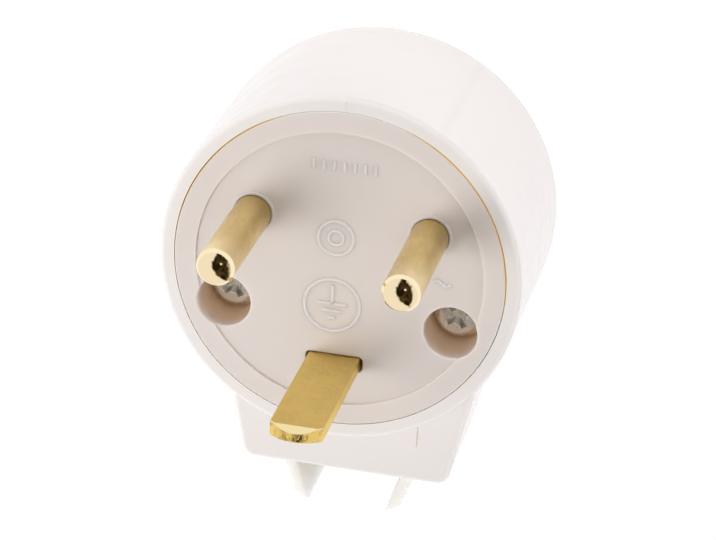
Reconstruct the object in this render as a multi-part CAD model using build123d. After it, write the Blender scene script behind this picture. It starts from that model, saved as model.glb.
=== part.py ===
from build123d import *
import math
import os

# Round two-pole and earth plug with a side cable outlet. Millimetres.
# It stands on its flat back: z = 0 is the back, +Z runs along the pins, and the
# cable leaves towards -Y. The origin is the centre of the flat back.

# Round body
BODY_HEIGHT = 33.0
RIM_R = 26.7
BACK_R = 27.2
BACK_EDGE_R = 3.5
RIM_EDGE_R = 0.8
RIM_WALL = 2.15
BACK_WALL = 2.4
FLOOR_EDGE = 1.2
NICK_WIDTH = 0.25
NICK_DEPTH = 0.06

# Outlet block on the side of the body
OUTLET_HEIGHT = 20.6
OUTLET_REACH = 39.1
OUTLET_END_HALF = 16.0
OUTLET_TAPER = 12.0
OUTLET_WALL = 2.2
OUTLET_CORNER_R = 2.2
OUTLET_FRONT_EDGE_R = 0.8
OUTLET_BACK_EDGE_R = 1.8
PANEL_HALF = 11.0
PANEL_END = 33.1
PANEL_RISE = 0.3
GUIDE_LENGTH = 8.1

# Pin base, the disc that closes the body and carries the pins
BASE_GAP = 0.1
BASE_PLATE = 3.5
BORDER_WIDTH = 3.15
FACE_RECESS = 0.4
BORDER_EDGE = 0.15
SKIRT_DEPTH = 7.0
SKIRT_WALL = 1.8

# Ribs that the skirt stands on
STOP_RIB_COUNT = 5
STOP_RIB_PITCH = 40.0
STOP_RIB_WIDTH = 1.6
STOP_RIB_REACH = 2.2

# Screws that hold the base to the body
CASE_SCREW_INSET = 6.0
CASE_SCREW_TURN = 23.65
COUNTERBORE_R = 4.0
COUNTERBORE_DEPTH = 8.2
COUNTERBORE_WALL = 1.6
COUNTERBORE_FLOOR = 2.0
COUNTERBORE_EDGE = 0.2
CASE_SCREW_R = 1.5
CASE_SCREW_LENGTH = 12.0
CASE_HEAD_R = 3.3
CASE_HEAD_HEIGHT = 2.0
CASE_HEAD_EDGE = 0.6
SCREW_HOLE_GAP = 0.25
THREAD_GAP = 0.03
PILOT_SPARE = 1.0
BOSS_WALL = 2.7
BOSS_WEB = 1.6

# Round pins
PIN_SPACING = 26.0
PIN_Y = 7.25
PIN_R = 2.75
PIN_REACH = 20.6
PIN_CROWN_R = 8.0
PIN_EDGE = 0.4
PIN_ROOT_R = 3.1
PIN_ROOT_COVER = 0.8
PIN_GAP = 0.05
COLLAR_WIDTH = 0.4
COLLAR_RISE = 0.2
NECK_CUT = 0.2
SPIGOT_R = 2.2

# Flat earth pin
EARTH_WIDTH = 7.7
EARTH_THICKNESS = 2.2
EARTH_FACE_Y = -13.5
EARTH_REACH = 24.0
EARTH_BULGE = 1.6
EARTH_CORNER_R = 0.5
CRESCENT_RISE = 1.1
CRESCENT_DEPTH = 0.75
EARTH_EDGE_R = 0.25
SLOT_END_GAP = 0.45
SLOT_SIDE_GAP = 0.15
SLOT_CORNER_R = 0.7

# Terminals
TERMINAL_SIDE = 9.0
EARTH_TERMINAL_X = 10.0
EARTH_TERMINAL_Y = 8.0
TERMINAL_HEIGHT = 11.0
TERMINAL_EDGE = 0.6
TAIL_DEPTH = 3.0
WIRE_R = 2.1
WIRE_DEPTH = 5.9
TERMINAL_SCREW_R = 1.75
TERMINAL_SCREW_LENGTH = 9.0
TERMINAL_HEAD_R = 2.6
TERMINAL_HEAD_HEIGHT = 1.9
RIVET_R = 0.8
POCKET_WALL = 1.2
POCKET_DEPTH = 5.0
POCKET_GAP = 0.1

# Retainer plate behind the terminals
RETAINER_THICKNESS = 2.2
RETAINER_BAR_WIDTH = 12.0
RETAINER_STEM_WIDTH = 13.0
RETAINER_END_R = 3.0
RETAINER_MARGIN = 4.0
BARRIER_X = 6.2
BARRIER_WIDTH = 1.2
BARRIER_HEIGHT = 6.0
RETAINER_SCREW_R = 1.3
RETAINER_SCREW_LENGTH = 8.0
RETAINER_HEAD_R = 2.3
RETAINER_HEAD_HEIGHT = 1.6
LOWER_SCREW_Y = -4.5
PILLAR_R = 3.2
HEAD_GAP = 0.3

# Toothed tongues of the cord grip
TONGUE_TIP_X = 6.1
TONGUE_TIP_REACH = 46.9
TONGUE_ANGLE = 20.0
TONGUE_LENGTH = 16.0
TONGUE_CORE = 1.35
TONGUE_WIDTH = 14.0
TONGUE_LOW = 3.5
TOOTH_COUNT = 6
TOOTH_PITCH = 2.0
TOOTH_HEIGHT = 0.5
TOOTH_RISE = 0.45
TIP_BEVEL = 2.3
TONGUE_GAP = 0.12
GROOVE_DEPTH = 1.2

# Drive slots in the screw heads
CROSS_WIDTH = 1.0
CROSS_DEPTH = 1.5
CROSS_SHARE = 0.6
CROSS_TAPER = 12.0
CROSS_TURN = 35.0
CROSS_CORE_SHARE = 0.36
SLOT_SHARE = 0.3

# Heights and radii that follow from the sizes above
FACE_Z = BODY_HEIGHT
CAVITY_R = RIM_R - RIM_WALL
BASE_R = CAVITY_R - BASE_GAP
SKIRT_IN_R = BASE_R - SKIRT_WALL
RECESS_R = BASE_R - BORDER_WIDTH
RECESS_Z = FACE_Z - FACE_RECESS
PLATE_Z = FACE_Z - BASE_PLATE
SKIRT_Z = FACE_Z - SKIRT_DEPTH
HEAD_SEAT_Z = FACE_Z - COUNTERBORE_DEPTH
BOSS_Z = HEAD_SEAT_Z - COUNTERBORE_FLOOR
ROOT_Z = RECESS_Z - PIN_ROOT_COVER
COLLAR_Z = RECESS_Z + COLLAR_RISE
TERMINAL_Z = PLATE_Z - TERMINAL_HEIGHT
RETAINER_Z = TERMINAL_Z - RETAINER_THICKNESS
WIRE_Z = PLATE_Z - WIRE_DEPTH
EARTH_Y = EARTH_FACE_Y - EARTH_THICKNESS / 2
TONGUE_HIGH = TONGUE_LOW + TONGUE_WIDTH
GUIDE_Y = GUIDE_LENGTH - OUTLET_REACH
CASE_SCREW_X = (BASE_R - CASE_SCREW_INSET) * math.cos(math.radians(CASE_SCREW_TURN))
CASE_SCREW_Y = -(BASE_R - CASE_SCREW_INSET) * math.sin(math.radians(CASE_SCREW_TURN))
CASE_SCREWS = {"left": (-CASE_SCREW_X, CASE_SCREW_Y), "right": (CASE_SCREW_X, CASE_SCREW_Y)}
ROUND_PINS = {"line": (-PIN_SPACING / 2, PIN_Y), "neutral": (PIN_SPACING / 2, PIN_Y)}
RETAINER_SCREWS = {"upper": (0, PIN_Y), "lower": (0, LOWER_SCREW_Y)}
UP = (Align.CENTER, Align.CENTER, Align.MIN)


def rod(radius, low, high, at=(0, 0)):
    """Upright cylinder between two heights."""
    return Pos(at[0], at[1], low) * Cylinder(radius, high - low, align=UP)


def block(width, depth, low, high, at=(0, 0)):
    """Upright box between two heights."""
    return Pos(at[0], at[1], low) * Box(width, depth, high - low, align=UP)


def prism(sketch, low, high):
    """Plan outline drawn up between two heights."""
    return Pos(0, 0, low) * extrude(sketch, high - low)


def polygon(points):
    """Plan face with straight sides."""
    return make_face(Polyline(*points, close=True))


def outlet_half_width(y):
    """Half the outside width of the outlet block at a place along the cable."""
    return OUTLET_END_HALF + (OUTLET_REACH + y) * math.tan(math.radians(OUTLET_TAPER))


def outlet_outline(wall, top_y, end_y):
    """Tapered plan of the outlet block, moved in by a wall on its two sides."""
    inset = wall / math.cos(math.radians(OUTLET_TAPER))
    top = outlet_half_width(top_y) - inset
    end = outlet_half_width(end_y) - inset
    return polygon([(-top, top_y), (top, top_y), (end, end_y), (-end, end_y)])


def outlet_block():
    """Tapered block that the cable leaves through."""
    solid = prism(outlet_outline(0, 0, -OUTLET_REACH), 0, OUTLET_HEIGHT)
    corners = solid.edges().filter_by(Axis.Z).group_by(Axis.Y)[0]
    solid = fillet(corners, OUTLET_CORNER_R)
    front = solid.faces().sort_by(Axis.Z)[-1]
    front_edges = front.edges().filter_by(lambda e: e.center().Y < 0)
    solid = fillet(front_edges, OUTLET_FRONT_EDGE_R)
    back = solid.faces().sort_by(Axis.Z)[0]
    back_edges = back.edges().filter_by(lambda e: e.center().Y < 0)
    return fillet(back_edges, OUTLET_BACK_EDGE_R)


def round_body():
    """Closed round body with a rounded back edge and an eased rim."""
    solid = Cone(BACK_R, RIM_R, BODY_HEIGHT, align=UP)
    rings = solid.edges().filter_by(GeomType.CIRCLE).sort_by(Axis.Z)
    solid = fillet(rings[0], BACK_EDGE_R)
    rings = solid.edges().filter_by(GeomType.CIRCLE).sort_by(Axis.Z)
    return fillet(rings[-1], RIM_EDGE_R)


def body_cavity():
    """Round room for the pins and terminals, open at the face."""
    solid = rod(CAVITY_R, BACK_WALL, FACE_Z + 1)
    rings = solid.edges().filter_by(GeomType.CIRCLE).sort_by(Axis.Z)
    return chamfer(rings[0], FLOOR_EDGE)


def tongue_point(side, along, out):
    """Plan place on a tongue: so far from its tip, so far out from its smooth side."""
    lean = math.radians(TONGUE_ANGLE)
    x = TONGUE_TIP_X + along * math.sin(lean) + out * math.cos(lean)
    y = along * math.cos(lean) - out * math.sin(lean) - TONGUE_TIP_REACH
    return (side * x, y)


def tongue_outline(side):
    """Plan of one tongue: smooth inside, saw teeth outside, pointed lip at the tip."""
    outline = [(0, 0), (TONGUE_LENGTH, 0), (TONGUE_LENGTH, TONGUE_CORE)]
    for tooth in reversed(range(TOOTH_COUNT)):
        crest = TIP_BEVEL + tooth * TOOTH_PITCH
        outline.append((crest + TOOTH_PITCH - TOOTH_RISE, TONGUE_CORE))
        outline.append((crest, TONGUE_CORE + TOOTH_HEIGHT))
    return polygon([tongue_point(side, along, out) for along, out in outline])


def tongue_channel(side):
    """Toothed channel that one tongue slides in, with a plain mouth through the end wall."""
    toothed = offset(tongue_outline(side), TONGUE_GAP, kind=Kind.INTERSECTION)
    wall_end = (TONGUE_TIP_REACH - OUTLET_REACH + OUTLET_WALL) / math.cos(math.radians(TONGUE_ANGLE))
    outside = TONGUE_CORE + TOOTH_HEIGHT + TONGUE_GAP
    corners = [(0, 0), (wall_end, 0), (wall_end, outside), (0, outside)]
    mouth = polygon([tongue_point(side, along, out) for along, out in corners])
    return prism(toothed, TONGUE_LOW, TONGUE_HIGH) + prism(mouth, TONGUE_LOW, TONGUE_HIGH)


def cable_way():
    """Way for the cable between the two tongues, shallower than their channels."""
    slope = math.tan(math.radians(TONGUE_ANGLE))
    corners = []
    for y in (-OUTLET_REACH - 1, GUIDE_Y + 1):
        half = TONGUE_TIP_X + (y + TONGUE_TIP_REACH) * slope
        corners.append((half, y))
    outline = corners + [(-x, y) for x, y in reversed(corners)]
    return prism(polygon(outline), TONGUE_LOW + GROOVE_DEPTH, TONGUE_HIGH - GROOVE_DEPTH)


def outlet_room():
    """Room in the outlet block between the guides and the round body."""
    outline = outlet_outline(OUTLET_WALL, -CAVITY_R / 2, GUIDE_Y)
    return prism(outline, BACK_WALL, OUTLET_HEIGHT - OUTLET_WALL)


def screw_boss(at):
    """Pillar that a case screw bites into, tied to the wall by a web."""
    radius = CASE_SCREW_R + BOSS_WALL
    distance = math.hypot(*at)
    turn = math.degrees(math.atan2(at[1], at[0]))
    web_reach = CAVITY_R + RIM_WALL / 2 - distance
    web = Pos(distance + web_reach / 2, 0, 0) * block(web_reach, BOSS_WEB, 1, BOSS_Z - 1)
    return rod(radius, 1, BOSS_Z, at) + Rot(0, 0, turn) * web


def stop_ribs():
    """Upright ribs on the inside of the wall, that the skirt of the base stands on."""
    inside = CAVITY_R - STOP_RIB_REACH
    outside = CAVITY_R + RIM_WALL / 2
    rib = Pos((inside + outside) / 2, 0, 0) * block(outside - inside, STOP_RIB_WIDTH, 1, SKIRT_Z)
    first = 90 - STOP_RIB_PITCH * (STOP_RIB_COUNT - 1) / 2
    return [Rot(0, 0, first + index * STOP_RIB_PITCH) * rib for index in range(STOP_RIB_COUNT)]


def housing():
    """Moulded body and outlet block, open at the face and at the cable outlet."""
    panel = Pos(0, -PANEL_END / 2, OUTLET_HEIGHT) * Box(2 * PANEL_HALF, PANEL_END, PANEL_RISE, align=UP)
    solid = round_body() + outlet_block() + panel
    solid -= body_cavity()
    solid -= outlet_room()
    for rib in stop_ribs():
        solid += rib
    for at in CASE_SCREWS.values():
        solid += screw_boss(at)
        pilot = HEAD_SEAT_Z - CASE_SCREW_LENGTH - PILOT_SPARE
        solid -= rod(CASE_SCREW_R + THREAD_GAP, pilot, BOSS_Z + 1, at)
    solid -= cable_way()
    for side in (-1, 1):
        solid -= tongue_channel(side)
    nick = block(NICK_WIDTH, 2 * RIM_WALL, FACE_Z - NICK_DEPTH, FACE_Z + 1, (0, RIM_R))
    return solid - nick


def counterbore_tube(at):
    """Tube under the face that a case screw's head sits in."""
    return rod(COUNTERBORE_R + COUNTERBORE_WALL, BOSS_Z, PLATE_Z, at)


def counterbore_edge(at):
    """Lead-in round a counterbore, on the recessed face and on the raised border."""
    inside = rod(RECESS_R, PLATE_Z, FACE_Z)
    flare = Cone(COUNTERBORE_R, COUNTERBORE_R + COUNTERBORE_EDGE, COUNTERBORE_EDGE, align=UP)
    low = Pos(at[0], at[1], RECESS_Z - COUNTERBORE_EDGE) * flare
    high = Pos(at[0], at[1], FACE_Z - COUNTERBORE_EDGE) * flare
    return (low & inside) + (high - inside)


def pocket_room(width, depth, at):
    """Room for a terminal under the plate, with a little play all round."""
    return block(width + 2 * POCKET_GAP, depth + 2 * POCKET_GAP, PLATE_Z - POCKET_DEPTH, PLATE_Z, at)


def pocket_walls(width, depth, at):
    """Three walls round a terminal, open towards the cable, kept inside the skirt."""
    outer_x = width + 2 * (POCKET_GAP + POCKET_WALL)
    outer_y = depth / 2 + POCKET_GAP + POCKET_WALL
    low = PLATE_Z - POCKET_DEPTH
    inside = rod(SKIRT_IN_R + SKIRT_WALL / 2, low, PLATE_Z)
    front = depth / 2 + POCKET_GAP
    middle = (at[0], at[1] + (outer_y - front) / 2)
    return block(outer_x, outer_y + front, low, PLATE_Z, middle) & inside


def earth_slot():
    """Slot with round ends that the flat pin comes up through."""
    length = EARTH_WIDTH + 2 * SLOT_END_GAP
    width = EARTH_THICKNESS + 2 * SLOT_SIDE_GAP
    outline = Pos(0, EARTH_Y) * RectangleRounded(length, width, SLOT_CORNER_R)
    return prism(outline, PLATE_Z - 1, FACE_Z + 1)


def pin_base():
    """Disc with a raised border that carries the pins and takes the case screws."""
    disc = rod(BASE_R, PLATE_Z, FACE_Z)
    rings = disc.edges().filter_by(GeomType.CIRCLE).sort_by(Axis.Z)
    disc = chamfer(rings[-1], BORDER_EDGE)
    solid = disc - rod(RECESS_R, RECESS_Z, FACE_Z + 1)
    solid += rod(BASE_R, SKIRT_Z, PLATE_Z) - rod(SKIRT_IN_R, SKIRT_Z - 1, PLATE_Z)
    for at in CASE_SCREWS.values():
        solid += counterbore_tube(at)
    pockets = [(TERMINAL_SIDE, TERMINAL_SIDE, at) for at in ROUND_PINS.values()]
    pockets.append((EARTH_TERMINAL_X, EARTH_TERMINAL_Y, (0, EARTH_Y)))
    for pocket in pockets:
        solid += pocket_walls(*pocket)
    for pocket in pockets:
        solid -= pocket_room(*pocket)
    for at in ROUND_PINS.values():
        solid += rod(PIN_R + PIN_GAP + COLLAR_WIDTH, PLATE_Z, COLLAR_Z, at)
    for at in RETAINER_SCREWS.values():
        solid += rod(PILLAR_R, TERMINAL_Z, PLATE_Z, at)
        tip = RETAINER_Z + RETAINER_SCREW_LENGTH + PILOT_SPARE
        solid -= rod(RETAINER_SCREW_R + THREAD_GAP, TERMINAL_Z - 1, tip, at)
    for at in ROUND_PINS.values():
        solid -= rod(PIN_R + PIN_GAP, PLATE_Z - 1, FACE_Z + 1, at)
        solid -= rod(PIN_ROOT_R + PIN_GAP, PLATE_Z - 1, ROOT_Z, at)
    for at in CASE_SCREWS.values():
        solid -= rod(COUNTERBORE_R, HEAD_SEAT_Z, FACE_Z + 1, at)
        solid -= counterbore_edge(at)
        solid -= rod(CASE_SCREW_R + SCREW_HOLE_GAP, BOSS_Z - 1, FACE_Z, at)
    return solid - earth_slot()


def crowned_shaft():
    """Shaft of a round pin, turned with a neck in the base, a crowned tip and a bevelled edge."""
    top = FACE_Z + PIN_REACH
    neck = PIN_R - NECK_CUT
    drops = [PIN_CROWN_R - math.sqrt(PIN_CROWN_R**2 - x**2) for x in (PIN_R, PIN_R / 2)]
    foot = [(0, top), (0, ROOT_Z), (neck, ROOT_Z), (neck, COLLAR_Z), (PIN_R, COLLAR_Z)]
    side = Polyline(*foot, (PIN_R, top - drops[0]))
    crown = ThreePointArc((PIN_R, top - drops[0]), (PIN_R / 2, top - drops[1]), (0, top))
    profile = make_face(side + crown)
    corner = profile.vertices().sort_by(lambda v: v.X + v.Y)[-1]
    profile = chamfer(corner, PIN_EDGE)
    return revolve(Plane.XZ * profile, Axis.Z)


def round_pin(at):
    """Turned pin with a crowned tip, a thicker root in the base and a spigot below."""
    root = rod(PIN_ROOT_R, PLATE_Z, ROOT_Z)
    spigot = rod(SPIGOT_R, PLATE_Z - TAIL_DEPTH, PLATE_Z)
    return Pos(at[0], at[1], 0) * (crowned_shaft() + root + spigot)


def earth_pin():
    """Flat pin with a bulged end, a crescent bevel on its face and a tail that goes into its terminal."""
    half = EARTH_WIDTH / 2
    low = PLATE_Z - TAIL_DEPTH
    top = FACE_Z + EARTH_REACH
    corner = top - EARTH_BULGE
    sides = Polyline((-half, corner), (-half, low), (half, low), (half, corner))
    end = ThreePointArc((half, corner), (0, top), (-half, corner))
    profile = make_face(sides + end)
    profile = fillet(profile.vertices().group_by(Axis.Y)[1], EARTH_CORNER_R)
    solid = Pos(0, EARTH_FACE_Y, 0) * extrude(Plane.XZ * profile, EARTH_THICKNESS)
    solid = fillet(solid.edges().filter_by(Axis.Z), EARTH_EDGE_R)
    return solid - crescent_cut(top)


def crescent_cut(top):
    """Wedge that bevels the crest of the flat pin's end on the side away from the cable."""
    low = top - CRESCENT_RISE
    high = top + CRESCENT_RISE
    inner = EARTH_FACE_Y - 2 * CRESCENT_DEPTH
    outer = EARTH_FACE_Y + CRESCENT_DEPTH
    outline = Plane.YZ * polygon([(EARTH_FACE_Y, low), (inner, high), (outer, high), (outer, low)])
    return Pos(-EARTH_WIDTH, 0, 0) * extrude(outline, 2 * EARTH_WIDTH)


def terminal(width, depth, at):
    """Brass block with a cross hole for the wire and a screw hole from below."""
    solid = block(width, depth, TERMINAL_Z, PLATE_Z, at)
    solid = chamfer(solid.edges().filter_by(Axis.Z), TERMINAL_EDGE)
    wire = Pos(at[0], at[1], WIRE_Z) * Rot(90, 0, 0) * Cylinder(WIRE_R, 2 * depth)
    screw = rod(TERMINAL_SCREW_R + THREAD_GAP, TERMINAL_Z - 1, WIRE_Z, at)
    return solid - wire - screw


def round_pin_terminal(at):
    """Terminal that a round pin's spigot is pressed into."""
    return terminal(TERMINAL_SIDE, TERMINAL_SIDE, at) - rod(SPIGOT_R, PLATE_Z - TAIL_DEPTH, PLATE_Z + 1, at)


def earth_terminal():
    """Terminal slotted for the flat pin's tail and drilled for its rivet."""
    slot = block(EARTH_WIDTH, EARTH_THICKNESS, PLATE_Z - TAIL_DEPTH, PLATE_Z + 1, (0, EARTH_Y))
    return terminal(EARTH_TERMINAL_X, EARTH_TERMINAL_Y, (0, EARTH_Y)) - slot


def rivet_hole():
    """Cross hole through the terminal and the tail in its slot."""
    return Pos(0, EARTH_Y, PLATE_Z - TAIL_DEPTH / 2) * Rot(90, 0, 0) * Cylinder(RIVET_R, EARTH_TERMINAL_Y)


def slot_drive(radius, face_z, at):
    """Straight screwdriver slot in the underside of a screw's head."""
    width = radius * SLOT_SHARE
    return block(3 * radius, width, face_z, face_z + width, at)


def terminal_screw(at):
    """Cheese-head screw that comes up from below and clamps the wire."""
    tip = WIRE_Z - WIRE_R
    seat = tip - TERMINAL_SCREW_LENGTH
    low = seat - TERMINAL_HEAD_HEIGHT
    solid = rod(TERMINAL_SCREW_R, seat, tip, at) + rod(TERMINAL_HEAD_R, low, seat, at)
    return solid - slot_drive(TERMINAL_HEAD_R, low, at)


def cross_drive(radius, face_z, at):
    """Cross recess in a screw's head: four wings that narrow downwards round a wider core."""
    arm = 2 * radius * CROSS_SHARE
    core = radius * CROSS_CORE_SHARE
    wings = [Rectangle(arm, CROSS_WIDTH), Rectangle(CROSS_WIDTH, arm)]
    recess = Pos(0, 0, -CROSS_DEPTH) * Cone(core / 2, core, CROSS_DEPTH, align=UP)
    for wing in wings:
        recess += extrude(wing, -CROSS_DEPTH, taper=CROSS_TAPER)
    return Pos(at[0], at[1], face_z) * Rot(0, 0, CROSS_TURN) * recess


def case_screw(at):
    """Pan-head screw from the face of the base into the body's pillar."""
    top = HEAD_SEAT_Z + CASE_HEAD_HEIGHT
    head = rod(CASE_HEAD_R, HEAD_SEAT_Z, top, at)
    rim = head.edges().filter_by(GeomType.CIRCLE).sort_by(Axis.Z)[-1]
    head = chamfer(rim, CASE_HEAD_EDGE)
    shank = rod(CASE_SCREW_R, HEAD_SEAT_Z - CASE_SCREW_LENGTH, HEAD_SEAT_Z, at)
    return head + shank - cross_drive(CASE_HEAD_R, top, at)


def retainer():
    """T-shaped plate that holds the terminals in their pockets, with two barriers."""
    bar_width = PIN_SPACING + 2 * RETAINER_MARGIN
    stem_low = EARTH_Y - EARTH_TERMINAL_Y / 2 - 1
    stem_length = PIN_Y - stem_low
    bar = Pos(0, PIN_Y) * RectangleRounded(bar_width, RETAINER_BAR_WIDTH, RETAINER_END_R)
    stem = Pos(0, PIN_Y - stem_length / 2) * RectangleRounded(RETAINER_STEM_WIDTH, stem_length, RETAINER_END_R)
    solid = prism(bar + stem, RETAINER_Z, TERMINAL_Z)
    for x in (-BARRIER_X, BARRIER_X):
        low = RETAINER_Z - BARRIER_HEIGHT
        solid += block(BARRIER_WIDTH, RETAINER_BAR_WIDTH, low, RETAINER_Z, (x, PIN_Y))
    for at in list(ROUND_PINS.values()) + [(0, EARTH_Y)]:
        solid -= rod(TERMINAL_HEAD_R + HEAD_GAP, RETAINER_Z - 1, TERMINAL_Z + 1, at)
    for at in RETAINER_SCREWS.values():
        solid -= rod(RETAINER_SCREW_R + SCREW_HOLE_GAP, RETAINER_Z - 1, TERMINAL_Z + 1, at)
    return solid


def retainer_screw(at):
    """Small screw from below through the retainer into a pillar of the base."""
    low = RETAINER_Z - RETAINER_HEAD_HEIGHT
    solid = rod(RETAINER_HEAD_R, low, RETAINER_Z, at)
    solid += rod(RETAINER_SCREW_R, RETAINER_Z, RETAINER_Z + RETAINER_SCREW_LENGTH, at)
    return solid - slot_drive(RETAINER_HEAD_R, low, at)


def all_parts():
    """Every piece by its node's name."""
    earth_at = (0, EARTH_Y)
    parts = {"housing": housing(), "pin_base": pin_base(), "pin_retainer": retainer()}
    for name, at in ROUND_PINS.items():
        parts[f"{name}_pin"] = round_pin(at)
        parts[f"{name}_terminal"] = round_pin_terminal(at)
        parts[f"{name}_terminal_screw"] = terminal_screw(at)
    parts["earth_pin"] = earth_pin() - rivet_hole()
    parts["earth_terminal"] = earth_terminal() - rivet_hole()
    parts["earth_terminal_screw"] = terminal_screw(earth_at)
    parts["earth_rivet"] = rivet_hole()
    for name, at in CASE_SCREWS.items():
        parts[f"case_screw_{name}"] = case_screw(at)
    for name, at in RETAINER_SCREWS.items():
        parts[f"retainer_screw_{name}"] = retainer_screw(at)
    for name, side in (("left", -1), ("right", 1)):
        parts[f"cord_grip_{name}"] = prism(tongue_outline(side), TONGUE_LOW, TONGUE_HIGH)
    return parts


os.makedirs("parts", exist_ok=True)
for name, solid in all_parts().items():
    export_step(solid, f"parts/{name}.step")
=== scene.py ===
import math

import bpy
from mathutils import Matrix, Vector


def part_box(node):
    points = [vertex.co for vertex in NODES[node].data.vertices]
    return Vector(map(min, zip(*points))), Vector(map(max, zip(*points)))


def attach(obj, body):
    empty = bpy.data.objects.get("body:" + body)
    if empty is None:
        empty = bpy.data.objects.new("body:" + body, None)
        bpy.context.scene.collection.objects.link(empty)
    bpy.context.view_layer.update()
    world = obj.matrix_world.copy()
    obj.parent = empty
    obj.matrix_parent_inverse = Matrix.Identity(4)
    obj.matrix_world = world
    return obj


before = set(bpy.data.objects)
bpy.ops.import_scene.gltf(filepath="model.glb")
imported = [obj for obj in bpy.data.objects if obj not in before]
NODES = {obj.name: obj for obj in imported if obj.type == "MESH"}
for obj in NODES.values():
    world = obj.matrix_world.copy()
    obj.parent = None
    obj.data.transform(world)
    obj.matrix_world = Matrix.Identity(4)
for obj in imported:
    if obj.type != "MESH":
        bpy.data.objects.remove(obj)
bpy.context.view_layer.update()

# A round white mains plug on its back, seen from above its pins. Metres, in the CAD model's
# frame: +Z runs along the pins and the cable outlet points towards -Y.

MM = 0.001

# Camera: where it stands, the point it looks at, and its roll from +Y up
CAMERA_AT = Vector((69.4, 152.9, 363.6)) * MM
CAMERA_TARGET = Vector((2.92, 0.71, 33.0)) * MM
CAMERA_ROLL = math.radians(3.21)
CAMERA_LENS = 129.6
CAMERA_SENSOR = 36.0
CAMERA_CLIP = (0.01, 10.0)

# Places read from the frame, and the gap and recess of the base's face
FACE_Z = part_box("housing")[1].z
PIN_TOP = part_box("line_pin")[1].z
BLADE_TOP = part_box("earth_pin")[1].z
BASE_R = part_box("pin_base")[1].x
BASE_GAP = 0.1 * MM
FACE_RECESS = 0.4 * MM
PLATE_TOP = FACE_Z - FACE_RECESS

# Colours, linear
HOUSING_WHITE = (0.85, 0.808, 0.778)
BASE_WHITE = (0.765, 0.705, 0.665)
INNER_WHITE = (0.72, 0.65, 0.59)
NYLON = (1.0, 0.895, 0.81)
# Painted warm shade for holes and creases, one for each plastic
PAINTED_SHADE_TINT = (1.0, 0.785, 0.60)
HOUSING_PAINTED_SHADE = (0.95, 0.86, 0.78)
NYLON_PAINTED_SHADE = (0.93, 0.86, 0.79)
# Marks painted lighter than the face, a painted light for the light their tops catch
MARK_PAINTED_LIGHTER = (0.84, 0.78, 0.74)
# Painted light in the gap round the base: an orange glow on two arcs, and pale walls
PAINTED_GAP_GLOW = (0.93, 0.67, 0.36)
PAINTED_GAP_LIGHT = (1.0, 0.95, 0.89)
FLOW_TINT = (0.70, 0.62, 0.63)
PIN_BRASS = (0.83, 0.64, 0.29)
TIP_BRASS = (0.97, 0.82, 0.55)
BLADE_BRASS = (0.88, 0.67, 0.24)
BLADE_SHINE = (1.0, 0.92, 0.7)
BEVEL_BRASS = (0.88, 0.73, 0.41)
SHEARED_BRASS = (0.85, 0.61, 0.19)
SHEARED_DARK = (0.50, 0.33, 0.10)
TERMINAL_BRASS = (0.78, 0.58, 0.27)
TARNISH = (0.52, 0.38, 0.13)
ZINC = (0.98, 0.99, 0.95)
# Darker zinc, for grime and for the painted shade in the screws' recesses
ZINC_GRIME_AND_SHADE = (0.80, 0.80, 0.76)

# A noise layer is its cells a metre, its detail, its stretch along the axes and its roughness.
# A bump is its depth and its strength. Noise is mostly read over this span of its values.
NOISE_SPAN = (0.3, 0.7)
AO_SAMPLES = 8
BEVEL_SAMPLES = 6

# Plastics: light that soaks in, painted warm shade in creases, drifting colour, uneven gloss
PLASTIC_IOR = 1.49
SOFT_SPREAD = (1.0, 0.96, 0.92)
SOFT_DEPTH = 1.2 * MM
NYLON_SOFT = 0.95
NYLON_SPREAD = (1.0, 1.0, 1.0)
NYLON_DEPTH = 2.6 * MM
CREASE_OPENNESS = (0.3, 0.95)
CREASE_BELOW_FACE = (2.2 * MM, 0.6 * MM)
DRIFT_LAYER = (45.0, 3.0)
DRIFT_DARKER = 0.985
DRIFT_PALER = 1.012
GLOSS_LAYER = (260.0, 4.0)
SMOOTHER = 0.04
ROUGHER = 0.05
RIPPLE_LAYER = (420.0, 1.0)
RIPPLE_DEPTH = 0.04 * MM
RIPPLE_SHARE = 0.6
GRAIN_LAYER = (5200.0, 3.0)
GRAIN_DEPTH = 0.01 * MM

# Painted orange glow in the gap round the base: two arcs, each its middle and half width in degrees from +X
GAP_ARCS = ((142, 34), (31, 42))
ARC_FADE = 16.0
WALL_IN_BASE = (0.2 * MM, 0.12 * MM)
WALL_IN_HOUSING = (0.03 * MM, 0.08 * MM)
WALL_BELOW_FACE = (2.5 * MM, 2 * MM)

# Weld line down the outer wall: its angle from +X and how far it fades beside that, in degrees,
# its strength, and how far out from the base it starts and is full
FLOW_ANGLE = 59.0
FLOW_REACH = (0.2, 2.6)
FLOW_STRENGTH = 0.13
FLOW_OUTSIDE = (1.5 * MM, 2 * MM)

# Round pins: polished tip, darker towards the foot, and a painted highlight, a paler length below the tip
TIP_BELOW_TOP = (1.1 * MM, 0.85 * MM)
TIP_ROUGHNESS = 0.05
PIN_DARKENING_REACH = 8 * MM
HIGHLIGHT_BELOW_TOP = (7 * MM, 1 * MM)
HIGHLIGHT_SHARE = 0.6
MOTTLE_LAYER = (650.0, 6.0, (1, 1, 0.45), 0.65)
MOTTLE_SPAN = (0.38, 0.66)
MOTTLE_SHARE = 0.34
WORN_LAYER = (1400.0, 4.0, (1, 1, 0.2))
PIN_ROUGHNESS = (0.27, 0.42)
TURNING_LAYER = (3000.0, 2.0, (0.06, 0.06, 2.0))
TURNING_BUMP = (0.005 * MM, 0.3)
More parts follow.
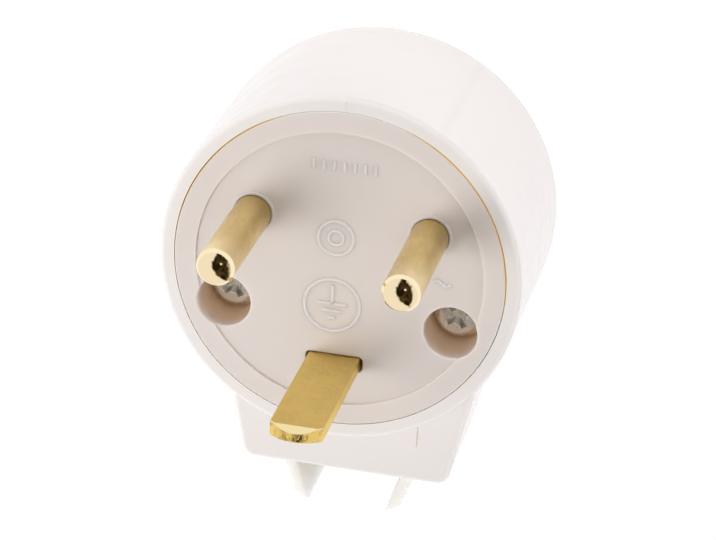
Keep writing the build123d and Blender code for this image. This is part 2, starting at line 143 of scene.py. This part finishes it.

# Flat pin: faint streaks and blotches, darker towards the foot, brushed along its length
STREAK_LAYER = (1500.0, 5.0, (1, 1, 0.06))
STREAK_SPAN = (0.35, 0.7)
STREAK_SHARE = 0.07
BLOTCH_LAYER = (300.0, 3.0)
BLOTCH_SPAN = (0.4, 0.75)
BLOTCH_SHARE = 0.2
BLADE_DARKENING_REACH = 12 * MM
BLADE_DARKENING_SHARE = 0.4
BRUSHED_LAYER = (2200.0, 4.0, (1, 1, 0.05))
BLADE_ROUGHNESS = (0.30, 0.42)
DENT_LAYER = (500.0, 2.0)
DENT_BUMP = (0.02 * MM, 0.3)
SCRATCH_LAYER = (4200.0, 3.0, (1, 1, 0.03))
SCRATCH_BUMP = (0.008 * MM, 0.2)
BLADE_EDGE = 0.08 * MM

# Flat pin's sheared end and its bevel, told by their height and by which way they face
END_BELOW_TOP = (2.2 * MM, 2.1 * MM)
END_FACES_UP = (0.3, 0.36)
BEVEL_FACES_Y = (0.3, 0.4)
END_ROUGHNESS = 0.16
TEAR_LAYER = (900.0, 5.0, (1.1, 0.7, 1), 0.62)
TEAR_SPAN = (0.48, 0.64)
TEAR_BUMP = (0.05 * MM, 0.8)

# Terminals and rivet: stains, uneven gloss, milling marks and rounded edges
STAIN_LAYER = (700.0, 4.0)
STAIN_SPAN = (0.35, 0.7)
STAIN_SHARE = 0.4
TERMINAL_GLOSS_LAYER = (1800.0, 3.0)
TERMINAL_ROUGHNESS = (0.25, 0.4)
MILLED_LAYER = (3000.0, 2.0, (1, 0.05, 1))
MILLED_BUMP = (0.01 * MM, 0.5)
MILLED_EDGE = 0.1 * MM

# Screws: grime, painted shade in their recesses, uneven gloss and plating, and rounded edges
GRIME_LAYER = (1400.0, 4.0)
GRIME_SPAN = (0.45, 0.65)
GRIME_SHARE = 0.35
RECESS_SHADE_REACH = 0.7 * MM
RECESS_SHADE_OPENNESS = (0.45, 0.9)
ZINC_GLOSS_LAYER = (1600.0, 3.0)
ZINC_ROUGHNESS = (0.26, 0.42)
PLATING_LAYER = (1100.0, 2.0)
PLATING_BUMP = (0.09 * MM, 0.9)
SCREW_EDGE = 0.22 * MM

# Light: bright low sky, brightest towards +X and +Y, dim overhead, and one lamp high on the left
LOW_SKY_DIM = (2.0, 1.98, 2.04)
LOW_SKY_BRIGHT = (3.4, 3.36, 3.5)
BRIGHT_SIDE = Vector((0.68, 0.73, 0.0))
BRIGHT_SPAN = (-0.4, 0.8)
SKY_TOP = (0.42, 0.412, 0.412)
SKY_RISE = (0.1, 0.42)
LAMP_AT = Vector((-168, -72, 350)) * MM
LAMP_SIZE = 215 * MM
LAMP_POWER = 0.69

# What metal and gloss show: a plain sky, and overhead a dark lens-shaped card with a small glint
SEEN_SKY = (1.02, 1.02, 1.02)
SEEN_TOP = (0.92, 0.91, 0.89)
SKY_DETAIL = 3.0
CARD_TOWARDS = Vector((-0.02, -0.31, 0.95))
CARD_HALF = (0.27, 0.50)
CARD_TURN = math.radians(-14)
CARD_DARK = (0.015, 0.010, 0.004)
CARD_BROWN = (0.09, 0.054, 0.022)
CARD_SPECKLE_SCALE = 5.0
CARD_SPECKLE_SPAN = (0.45, 0.7)
CARD_RAGGED_SCALE = 7.0
CARD_WANDER = 0.14
CARD_EDGE = (0.88, 1.08)
HORIZON_FADE = 0.01
GLINT_TOWARDS = Vector((0.0, -0.19, 0.98))
GLINT_REACH = 0.045
GLINT_CORE = 0.6

# Floor
FLOOR_HALF = 3.0
FLOOR_DROP = 0.02 * MM
FLOOR_GLOW = 1.06
FLOOR_SHARE = 0.12
FLOOR_COLOUR = (0.94, 0.94, 0.94)

# Moulded marks on the recessed face, as plan places
MARK_RADIUS = 0.30 * MM
MARK_RISE = 0.16 * MM
MARK_FACETS = 3
BARS_AT = (0.13 * MM, 16.1 * MM)
BARS_PITCH = 1.5 * MM
BARS_COUNT = 7
BAR_LENGTH = 1.5 * MM
RING_AT = (-0.6 * MM, 5.0 * MM)
OUTER_RING = 2.6 * MM
OUTER_STEPS = 48
INNER_RING = 1.1 * MM
INNER_STEPS = 32
WAVE_AT = (15.2 * MM, 0.2 * MM)
WAVE_HALF = 1.3 * MM
WAVE_RISE = 0.4 * MM
WAVE_STEPS = 32

# Earth symbol: its stem's two heights, each bar's half width and height, and the ring round it
EARTH_AT = (-0.7 * MM, -6.0 * MM)
EARTH_STEM = (3.6 * MM, 0.6 * MM)
EARTH_BARS = ((2.2 * MM, 0.6 * MM), (1.4 * MM, -0.5 * MM), (0.6 * MM, -1.6 * MM))
EARTH_RING_UP = 0.4 * MM
EARTH_RING = 4.1 * MM


def new_material(name):
    """New node material, with its node tree and shader."""
    material = bpy.data.materials.new(name)
    material.use_nodes = True
    tree = material.node_tree
    return material, tree, tree.nodes["Principled BSDF"]


def new_metal(name):
    """New metal, with its node tree and shader."""
    material, tree, shader = new_material(name)
    shader.inputs["Metallic"].default_value = 1.0
    return material, tree, shader


def add(tree, kind, **inputs):
    """Adds a node and sets its inputs by their names, with spaces as underscores."""
    node = tree.nodes.new(kind)
    for key, value in inputs.items():
        node.inputs[key.replace("_", " ")].default_value = value
    return node


def rgba(colour):
    """Colour with full alpha."""
    return (*colour, 1.0)


def mapped(tree, vector, **inputs):
    """Vector turned or stretched by a mapping node."""
    node = add(tree, "ShaderNodeMapping", **inputs)
    tree.links.new(vector, node.inputs["Vector"])
    return node.outputs["Vector"]


def place(tree, scale=(1, 1, 1)):
    """Position in the CAD model's frame, in metres, stretched by a scale."""
    coordinates = tree.nodes.new("ShaderNodeTexCoord")
    return mapped(tree, coordinates.outputs["Object"], Scale=scale)


def parts_of(tree, vector):
    """The X, Y and Z of a vector, by name."""
    node = tree.nodes.new("ShaderNodeSeparateXYZ")
    tree.links.new(vector, node.inputs["Vector"])
    return node.outputs


def measure(tree, operation, vector, other=None):
    """Number from a vector, and from a fixed one where the operation takes two."""
    node = tree.nodes.new("ShaderNodeVectorMath")
    node.operation = operation
    tree.links.new(vector, node.inputs[0])
    if other is not None:
        node.inputs[1].default_value = other
    return node.outputs["Value"]


def math_node(tree, operation, first, second=0.0):
    """One sum on two values, each a socket or a number."""
    node = tree.nodes.new("ShaderNodeMath")
    node.operation = operation
    for socket, value in zip(node.inputs, (first, second)):
        if isinstance(value, bpy.types.NodeSocket):
            tree.links.new(value, socket)
        else:
            socket.default_value = value
    return node.outputs["Value"]


def times(tree, first, second):
    """Product of two values."""
    return math_node(tree, "MULTIPLY", first, second)


def remap(tree, value, low, high, to_low, to_high):
    """Clamped linear change of range."""
    node = add(tree, "ShaderNodeMapRange", From_Min=low, From_Max=high, To_Min=to_low, To_Max=to_high)
    tree.links.new(value, node.inputs["Value"])
    return node.outputs["Result"]


def blend(tree, factor, first, second):
    """Mix of two colours, each a socket or a plain colour."""
    node = tree.nodes.new("ShaderNodeMix")
    node.data_type = "RGBA"
    tree.links.new(factor, node.inputs["Factor"])
    for name, colour in (("A", first), ("B", second)):
        socket = [s for s in node.inputs if s.name == name and s.type == "RGBA"][0]
        if isinstance(colour, bpy.types.NodeSocket):
            tree.links.new(colour, socket)
        else:
            socket.default_value = rgba(colour)
    return [s for s in node.outputs if s.type == "RGBA"][0]


def blend_numbers(tree, factor, first, second):
    """Mix of a number socket and a plain number."""
    node = tree.nodes.new("ShaderNodeMix")
    tree.links.new(factor, node.inputs["Factor"])
    tree.links.new(first, node.inputs["A"])
    node.inputs["B"].default_value = second
    return node.outputs["Result"]


def noise(tree, scale, detail, stretch=(1, 1, 1), roughness=0.5):
    """Noise with so many cells a metre, stretched along the axes."""
    node = add(tree, "ShaderNodeTexNoise", Scale=scale, Detail=detail, Roughness=roughness)
    tree.links.new(place(tree, stretch), node.inputs["Vector"])
    return node.outputs["Fac"]


def patches(tree, layer, low, high, span=NOISE_SPAN):
    """Noise layer turned into values from low to high."""
    return remap(tree, noise(tree, *layer), *span, low, high)


def sky_noise(tree, direction, scale):
    """Noise over the directions of the sky."""
    node = add(tree, "ShaderNodeTexNoise", Scale=scale, Detail=SKY_DETAIL)
    tree.links.new(direction, node.inputs["Vector"])
    return node.outputs["Fac"]


def height(tree):
    """Height above the floor, in metres."""
    return parts_of(tree, place(tree))["Z"]


def below(tree, top, depths, to_low, to_high):
    """Change of value between two depths below a height, the deeper one first."""
    return remap(tree, height(tree), top - depths[0], top - depths[1], to_low, to_high)


def plan_angle(tree):
    """Angle round the body from +X, in degrees."""
    at = parts_of(tree, place(tree))
    turn = math_node(tree, "ARCTAN2", at["Y"], at["X"])
    return times(tree, turn, math.degrees(1))


def plan_distance(tree):
    """Distance from the body's axis, in metres."""
    return measure(tree, "LENGTH", place(tree, (1, 1, 0)))


def angle_off(tree, middle):
    """How many degrees a place lies from an angle round the body, to either side."""
    return math_node(tree, "ABSOLUTE", math_node(tree, "SUBTRACT", plan_angle(tree), middle))


def gap_walls(tree):
    """1 on both walls of the gap round the base, 0 elsewhere."""
    distance = plan_distance(tree)
    gap_end = BASE_R + BASE_GAP
    inner = remap(tree, distance, BASE_R - WALL_IN_BASE[0], BASE_R - WALL_IN_BASE[1], 0.0, 1.0)
    outer = remap(tree, distance, gap_end + WALL_IN_HOUSING[0], gap_end + WALL_IN_HOUSING[1], 1.0, 0.0)
    return times(tree, times(tree, inner, outer), below(tree, FACE_Z, WALL_BELOW_FACE, 0.0, 1.0))


def glow_arcs(tree):
    """1 on the two arcs that get a painted orange glow, 0 elsewhere round the body."""
    masks = []
    for middle, half in GAP_ARCS:
        masks.append(remap(tree, angle_off(tree, middle), half - ARC_FADE, half, 1.0, 0.0))
    return math_node(tree, "MAXIMUM", *masks)


def flow_line(tree):
    """Faint weld line down the outer wall, 0 elsewhere."""
    beside = remap(tree, angle_off(tree, FLOW_ANGLE), *FLOW_REACH, FLOW_STRENGTH, 0.0)
    start, full = FLOW_OUTSIDE
    outside = remap(tree, plan_distance(tree), BASE_R + start, BASE_R + full, 0.0, 1.0)
    return times(tree, beside, outside)


def openness(tree, reach):
    """How open a place is, from 0 in a deep hole to 1 in the open."""
    node = add(tree, "ShaderNodeAmbientOcclusion", Distance=reach)
    node.samples = AO_SAMPLES
    return node.outputs["AO"]


def painted_crease_shade(tree, reach):
    """Where the painted shade goes: 1 in holes and creases well below the face, 0 in the open and near the
    face.
    """
    closed = remap(tree, openness(tree, reach), *CREASE_OPENNESS, 1.0, 0.0)
    return times(tree, closed, below(tree, FACE_Z, CREASE_BELOW_FACE, 1.0, 0.0))


def relief(tree, shader, layers, edge=0.0):
    """Chains bump layers (value, depth, strength) into the shader, over rounded edges if an edge is given."""
    normal = None
    if edge:
        rounded = add(tree, "ShaderNodeBevel", Radius=edge)
        rounded.samples = BEVEL_SAMPLES
        normal = rounded.outputs["Normal"]
    for value, depth, strength in layers:
        bump = add(tree, "ShaderNodeBump", Strength=strength, Distance=depth)
        tree.links.new(value, bump.inputs["Height"])
        if normal:
            tree.links.new(normal, bump.inputs["Normal"])
        normal = bump.outputs["Normal"]
    tree.links.new(normal, shader.inputs["Normal"])


def soften(shader, weight, spread, depth):
    """Lets light soak into a plastic."""
    shader.inputs["Subsurface Weight"].default_value = weight
    shader.inputs["Subsurface Radius"].default_value = spread
    shader.inputs["Subsurface Scale"].default_value = depth


def drifting(tree, colour):
    """Colour that drifts between a little darker and a little paler."""
    darker = tuple(c * DRIFT_DARKER for c in colour)
    paler = tuple(min(1.0, c * DRIFT_PALER) for c in colour)
    return blend(tree, patches(tree, DRIFT_LAYER, 0.0, 1.0), darker, paler)


def plastic(name, colour, roughness, reach, edge=0.0, grain=0.25, shade_colour=PAINTED_SHADE_TINT, gap=False, soft=0.65):
    """Moulded plastic: drifting colour, a painted warm shade in creases within reach, fine grain and uneven
    gloss.
    """
    material, tree, shader = new_material(name)
    shader.inputs["IOR"].default_value = PLASTIC_IOR
    soften(shader, soft, SOFT_SPREAD, SOFT_DEPTH)
    # Painted warm shade in holes and creases
    shaded = painted_crease_shade(tree, reach)
    if gap:
        walls = gap_walls(tree)
        shaded = times(tree, shaded, math_node(tree, "SUBTRACT", 1.0, walls))
    shade = blend(tree, shaded, drifting(tree, colour), shade_colour)
    # Painted light in the gap round the base: pale walls, and an orange glow on two arcs
    if gap:
        shade = blend(tree, walls, shade, PAINTED_GAP_LIGHT)
        shade = blend(tree, times(tree, glow_arcs(tree), walls), shade, PAINTED_GAP_GLOW)
        shade = blend(tree, flow_line(tree), shade, FLOW_TINT)
    tree.links.new(shade, shader.inputs["Base Color"])
    cloud = patches(tree, GLOSS_LAYER, roughness - SMOOTHER, roughness + ROUGHER)
    tree.links.new(cloud, shader.inputs["Roughness"])
    ripple = (noise(tree, *RIPPLE_LAYER), RIPPLE_DEPTH, grain * RIPPLE_SHARE)
    fine = (noise(tree, *GRAIN_LAYER), GRAIN_DEPTH, grain)
    relief(tree, shader, [ripple, fine], edge)
    return material


def nylon():
    """Natural nylon of the cord grip: pale, a little translucent, softly glossy."""
    # Its creases get a painted shade
    material = plastic("grip_nylon", NYLON, roughness=0.36, reach=1 * MM, edge=0.06 * MM, shade_colour=NYLON_PAINTED_SHADE)
    shader = material.node_tree.nodes["Principled BSDF"]
    soften(shader, NYLON_SOFT, NYLON_SPREAD, NYLON_DEPTH)
    return material


def darker_at_foot(tree, reach, most):
    """Darker towards the face on a pin, in the tarnish colour: most of it at the face, none at its reach
    above the face.
    """
    return remap(tree, height(tree), PLATE_TOP, PLATE_TOP + reach, most, 0.0)


def round_brass():
    """Turned brass pin: satin along the shaft with faint turning marks, polished on the crowned tip."""
    material, tree, shader = new_metal("pin_brass")
    tip = below(tree, PIN_TOP, TIP_BELOW_TOP, 0.0, 1.0)
    foot = darker_at_foot(tree, PIN_DARKENING_REACH, 1.0)
    mottle = patches(tree, MOTTLE_LAYER, 0.0, MOTTLE_SHARE, MOTTLE_SPAN)
    # Painted highlight: a paler length of shaft below the tip
    painted_highlight = below(tree, PIN_TOP, HIGHLIGHT_BELOW_TOP, 0.0, HIGHLIGHT_SHARE)
    satin = blend(tree, mottle, PIN_BRASS, TARNISH)
    satin = blend(tree, foot, satin, TARNISH)
    satin = blend(tree, painted_highlight, satin, TIP_BRASS)
    tree.links.new(blend(tree, tip, satin, TIP_BRASS), shader.inputs["Base Color"])
    worn = patches(tree, WORN_LAYER, *PIN_ROUGHNESS)
    tree.links.new(blend_numbers(tree, tip, worn, TIP_ROUGHNESS), shader.inputs["Roughness"])
    relief(tree, shader, [(noise(tree, *TURNING_LAYER), *TURNING_BUMP)])
    return material


def rolled_colour(tree):
    """Colour of the flat pin's rolled faces: brass with faint streaks and blotches, and darker towards the
    foot.
    """
    streak = patches(tree, STREAK_LAYER, 0.0, STREAK_SHARE, STREAK_SPAN)
    blotch = patches(tree, BLOTCH_LAYER, 0.0, BLOTCH_SHARE, BLOTCH_SPAN)
    foot = darker_at_foot(tree, BLADE_DARKENING_REACH, BLADE_DARKENING_SHARE)
    colour = BLADE_BRASS
    for darkening in (streak, blotch, foot):
        colour = blend(tree, darkening, colour, TARNISH)
    return colour


def blade_brass():
    """Rolled brass strip, faintly brushed along its length, with a polished bevel on a rough sheared end."""
    material, tree, shader = new_metal("blade_brass")
    shader.inputs["Specular Tint"].default_value = rgba(BLADE_SHINE)
    facing = parts_of(tree, tree.nodes.new("ShaderNodeNewGeometry").outputs["True Normal"])
    upward = remap(tree, facing["Z"], *END_FACES_UP, 0.0, 1.0)
    end = times(tree, upward, below(tree, BLADE_TOP, END_BELOW_TOP, 0.0, 1.0))
    bevel = remap(tree, facing["Y"], *BEVEL_FACES_Y, 0.0, 1.0)
    tears = patches(tree, TEAR_LAYER, 0.0, 1.0, TEAR_SPAN)
    sheared = blend(tree, tears, SHEARED_BRASS, SHEARED_DARK)
    end_colour = blend(tree, bevel, sheared, BEVEL_BRASS)
    tree.links.new(blend(tree, end, rolled_colour(tree), end_colour), shader.inputs["Base Color"])
    brushed = patches(tree, BRUSHED_LAYER, *BLADE_ROUGHNESS)
    tree.links.new(blend_numbers(tree, end, brushed, END_ROUGHNESS), shader.inputs["Roughness"])
    dents = (noise(tree, *DENT_LAYER), *DENT_BUMP)
    scratches = (noise(tree, *SCRATCH_LAYER), *SCRATCH_BUMP)
    torn = (times(tree, math_node(tree, "SUBTRACT", end, bevel), tears), *TEAR_BUMP)
    relief(tree, shader, [dents, scratches, torn], BLADE_EDGE)
    return material


def milled_brass():
    """Milled brass of the terminals and rivet."""
    material, tree, shader = new_metal("terminal_brass")
    stain = patches(tree, STAIN_LAYER, 0.0, STAIN_SHARE, STAIN_SPAN)
    tree.links.new(blend(tree, stain, TERMINAL_BRASS, TARNISH), shader.inputs["Base Color"])
    tree.links.new(patches(tree, TERMINAL_GLOSS_LAYER, *TERMINAL_ROUGHNESS), shader.inputs["Roughness"])
    relief(tree, shader, [(noise(tree, *MILLED_LAYER), *MILLED_BUMP)], MILLED_EDGE)
    return material


def zinc():
    """Bright zinc plate on the screws, darker with grime and with a painted shade in their recesses."""
    material, tree, shader = new_metal("zinc_steel")
    grime = patches(tree, GRIME_LAYER, 0.0, GRIME_SHARE, GRIME_SPAN)
    # Painted shade: darker where the head is sunk
    recess_shade = remap(tree, openness(tree, RECESS_SHADE_REACH), *RECESS_SHADE_OPENNESS, 1.0, 0.0)
    grime_and_shade = math_node(tree, "MAXIMUM", grime, recess_shade)
    tree.links.new(blend(tree, grime_and_shade, ZINC, ZINC_GRIME_AND_SHADE), shader.inputs["Base Color"])
    tree.links.new(patches(tree, ZINC_GLOSS_LAYER, *ZINC_ROUGHNESS), shader.inputs["Roughness"])
    relief(tree, shader, [(noise(tree, *PLATING_LAYER), *PLATING_BUMP)], SCREW_EDGE)
    return material


def white_plastics():
    """Plastics of the housing, the pin base and the inner plate, by node."""
    # Housing and base: a painted shade in creases, and painted light in the gap round the base
    housing = plastic(
        "housing_plastic", HOUSING_WHITE,
        roughness=0.22, reach=5 * MM, grain=0.12, shade_colour=HOUSING_PAINTED_SHADE, gap=True, soft=0.0,
    )
    base = plastic("base_plastic", BASE_WHITE, roughness=0.38, reach=7 * MM, edge=0.1 * MM, gap=True)
    inner = plastic("inner_plastic", INNER_WHITE, roughness=0.42, reach=5 * MM, edge=0.1 * MM)
    return {"housing": housing, "pin_base": base, "pin_retainer": inner}


def dress_frame():
    """Gives every CAD node its material."""
    wear = white_plastics()
    grip, pins, milled, screws = nylon(), round_brass(), milled_brass(), zinc()
    wear["earth_pin"] = blade_brass()
    wear["earth_rivet"] = milled
    for side in ("left", "right"):
        wear[f"cord_grip_{side}"] = grip
        wear[f"case_screw_{side}"] = screws
    for side in ("upper", "lower"):
        wear[f"retainer_screw_{side}"] = screws
    for wire in ("line", "neutral", "earth"):
        wear[f"{wire}_terminal"] = milled
        wear[f"{wire}_terminal_screw"] = screws
    for wire in ("line", "neutral"):
        wear[f"{wire}_pin"] = pins
    for name, node in NODES.items():
        for slot in node.material_slots:
            slot.material = wear[name]


def look(camera):
    """Places the camera and turns it to its target, rolled from +Y up."""
    back = (CAMERA_AT - CAMERA_TARGET).normalized()
    right = Vector((0, 1, 0)).cross(back).normalized()
    up = back.cross(right)
    turn = Matrix((right, up, back)).transposed() @ Matrix.Rotation(CAMERA_ROLL, 3, "Z")
    camera.location = CAMERA_AT
    camera.rotation_mode = "QUATERNION"
    camera.rotation_quaternion = turn.to_quaternion()


def make_camera():
    """Camera at the photograph's angle."""
    data = bpy.data.cameras.new("camera")
    data.sensor_width = CAMERA_SENSOR
    data.lens = CAMERA_LENS
    data.clip_start, data.clip_end = CAMERA_CLIP
    camera = bpy.data.objects.new("camera", data)
    bpy.context.scene.collection.objects.link(camera)
    look(camera)
    bpy.context.scene.camera = camera


def seen_by_eye(tree):
    """1 for camera, glossy and transmission rays, 0 for the light that falls on things."""
    path = tree.nodes.new("ShaderNodeLightPath")
    value = path.outputs["Is Camera Ray"]
    for name in ("Is Glossy Ray", "Is Transmission Ray"):
        value = math_node(tree, "MAXIMUM", value, path.outputs[name])
    return value


def mix_shaders(tree, factor, first, second):
    """Mix of two shader sockets by a number or a socket."""
    node = tree.nodes.new("ShaderNodeMixShader")
    if isinstance(factor, float):
        node.inputs["Fac"].default_value = factor
    else:
        tree.links.new(factor, node.inputs["Fac"])
    tree.links.new(first, node.inputs[1])
    tree.links.new(second, node.inputs[2])
    return node.outputs["Shader"]


def floor_material():
    """White that takes shadows, and to the eye is mostly an even glow."""
    material = bpy.data.materials.new("floor")
    material.use_nodes = True
    tree = material.node_tree
    tree.nodes.clear()
    diffuse = add(tree, "ShaderNodeBsdfDiffuse", Color=rgba(FLOOR_COLOUR)).outputs["BSDF"]
    glow = add(tree, "ShaderNodeEmission", Strength=FLOOR_GLOW).outputs["Emission"]
    bright = mix_shaders(tree, FLOOR_SHARE, glow, diffuse)
    output = tree.nodes.new("ShaderNodeOutputMaterial")
    tree.links.new(mix_shaders(tree, seen_by_eye(tree), diffuse, bright), output.inputs["Surface"])
    return material


def make_floor():
    """Wide white floor just under the object."""
    half = FLOOR_HALF
    mesh = bpy.data.meshes.new("floor")
    corners = [(-half, -half, 0), (half, -half, 0), (half, half, 0), (-half, half, 0)]
    mesh.from_pydata(corners, [], [(0, 1, 2, 3)])
    mesh.materials.append(floor_material())
    floor = bpy.data.objects.new("floor", mesh)
    floor.location.z = -FLOOR_DROP
    bpy.context.scene.collection.objects.link(floor)


def card_mask(tree, direction):
    """1 inside the dark card's lens-shaped patch of sky, 0 outside it and below the horizon."""
    to_card = CARD_TOWARDS.normalized().rotation_difference(Vector((0, 0, 1))).to_euler()
    faced = mapped(tree, direction, Rotation=to_card)
    level = mapped(tree, faced, Rotation=(0, 0, CARD_TURN))
    across = parts_of(tree, mapped(tree, level, Scale=(1 / CARD_HALF[0], 1 / CARD_HALF[1], 0)))
    bow = times(tree, across["Y"], across["Y"])
    lens = math_node(tree, "ADD", math_node(tree, "ABSOLUTE", across["X"]), bow)
    ragged = sky_noise(tree, direction, CARD_RAGGED_SCALE)
    wander = remap(tree, ragged, *NOISE_SPAN, -CARD_WANDER, CARD_WANDER)
    inside = remap(tree, math_node(tree, "ADD", lens, wander), *CARD_EDGE, 1.0, 0.0)
    above = remap(tree, parts_of(tree, direction)["Z"], 0.0, HORIZON_FADE, 0.0, 1.0)
    return times(tree, inside, above)


def card_colour(tree, direction):
    """Speckled brown of the dark card, with its glint."""
    speckle = sky_noise(tree, direction, CARD_SPECKLE_SCALE)
    card = blend(tree, remap(tree, speckle, *CARD_SPECKLE_SPAN, 0.0, 1.0), CARD_DARK, CARD_BROWN)
    off_glint = measure(tree, "DISTANCE", direction, GLINT_TOWARDS.normalized())
    glint = remap(tree, off_glint, GLINT_REACH * GLINT_CORE, GLINT_REACH, 1.0, 0.0)
    return blend(tree, glint, card, SEEN_SKY)


def make_world():
    """Studio sky: what lights the object, and the plainer sky with a dark card that metal and gloss show."""
    world = bpy.data.worlds.new("studio")
    bpy.context.scene.world = world
    world.use_nodes = True
    tree = world.node_tree
    direction = tree.nodes.new("ShaderNodeTexCoord").outputs["Generated"]
    side = remap(tree, measure(tree, "DOT_PRODUCT", direction, BRIGHT_SIDE), *BRIGHT_SPAN, 0.0, 1.0)
    low_sky = blend(tree, side, LOW_SKY_DIM, LOW_SKY_BRIGHT)
    rise = remap(tree, parts_of(tree, direction)["Z"], *SKY_RISE, 0.0, 1.0)
    lighting = blend(tree, rise, low_sky, SKY_TOP)
    seen = blend(tree, rise, SEEN_SKY, SEEN_TOP)
    seen = blend(tree, card_mask(tree, direction), seen, card_colour(tree, direction))
    both = blend(tree, seen_by_eye(tree), lighting, seen)
    tree.links.new(both, tree.nodes["Background"].inputs["Color"])


def make_lamp():
    """Soft round lamp high on the left, towards the cable outlet."""
    data = bpy.data.lights.new("soft_lamp", "AREA")
    data.shape = "DISK"
    data.size = LAMP_SIZE
    data.energy = LAMP_POWER
    lamp = bpy.data.objects.new("soft_lamp", data)
    bpy.context.scene.collection.objects.link(lamp)
    lamp.location = LAMP_AT
    lamp.visible_glossy = False
    towards = Vector((0, 0, FACE_Z)) - LAMP_AT
    lamp.rotation_euler = towards.to_track_quat("-Z", "Y").to_euler()


def raised_line(name, runs, material):
    """Raised moulded lines on the recessed face. A run of plan points that ends at its start is closed."""
    curve = bpy.data.curves.new(name, "CURVE")
    curve.dimensions = "3D"
    curve.bevel_depth = MARK_RADIUS
    curve.bevel_resolution = MARK_FACETS
    curve.use_fill_caps = True
    for run in runs:
        closed = run[0] == run[-1]
        points = run[:-1] if closed else run
        spline = curve.splines.new("POLY")
        spline.points.add(len(points) - 1)
        for point, (x, y) in zip(spline.points, points):
            point.co = (x, y, PLATE_TOP + MARK_RISE - MARK_RADIUS, 1)
        spline.use_cyclic_u = closed
    curve.materials.append(material)
    mark = bpy.data.objects.new(name, curve)
    bpy.context.scene.collection.objects.link(mark)
    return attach(mark, "root")


def ring(at, radius, steps=OUTER_STEPS):
    """Plan points round a circle, the last the same as the first."""
    angles = [2 * math.pi * step / steps for step in range(steps)]
    points = [(at[0] + radius * math.cos(a), at[1] + radius * math.sin(a)) for a in angles]
    return points + points[:1]


def bar_runs():
    """Row of short upright bars."""
    first = BARS_AT[0] - BARS_PITCH * (BARS_COUNT - 1) / 2
    low = BARS_AT[1] - BAR_LENGTH / 2
    high = BARS_AT[1] + BAR_LENGTH / 2
    places = [first + index * BARS_PITCH for index in range(BARS_COUNT)]
    return [[(x, low), (x, high)] for x in places]


def wave_run():
    """One full wave, the sign for alternating current."""
    points = []
    for step in range(WAVE_STEPS + 1):
        turn = 2 * math.pi * step / WAVE_STEPS
        x = WAVE_AT[0] + WAVE_HALF * (turn / math.pi - 1)
        points.append((x, WAVE_AT[1] + WAVE_RISE * math.sin(turn)))
    return points


def earth_runs():
    """Stem over three shrinking bars, in a ring."""
    x, y = EARTH_AT
    stem = [(x, y + up) for up in EARTH_STEM]
    bars = [[(x - half, y + up), (x + half, y + up)] for half, up in EARTH_BARS]
    return [stem, *bars, ring((x, y + EARTH_RING_UP), EARTH_RING)]


def moulded_marks():
    """Plain raised marks: a row of cavity bars, a ringed gate mark, the earth symbol and a current wave."""
    # The marks are painted lighter than the face they stand on, a painted light
    material = plastic("mark_painted_lighter", MARK_PAINTED_LIGHTER, roughness=0.38, reach=1 * MM, shade_colour=MARK_PAINTED_LIGHTER)
    raised_line("cavity_bars", bar_runs(), material)
    raised_line("gate_rings", [ring(RING_AT, OUTER_RING), ring(RING_AT, INNER_RING, INNER_STEPS)], material)
    raised_line("current_wave", [wave_run()], material)
    raised_line("earth_symbol", earth_runs(), material)


bpy.context.scene.view_settings.view_transform = "Standard"
make_camera()
make_world()
make_floor()
make_lamp()
dress_frame()
moulded_marks()
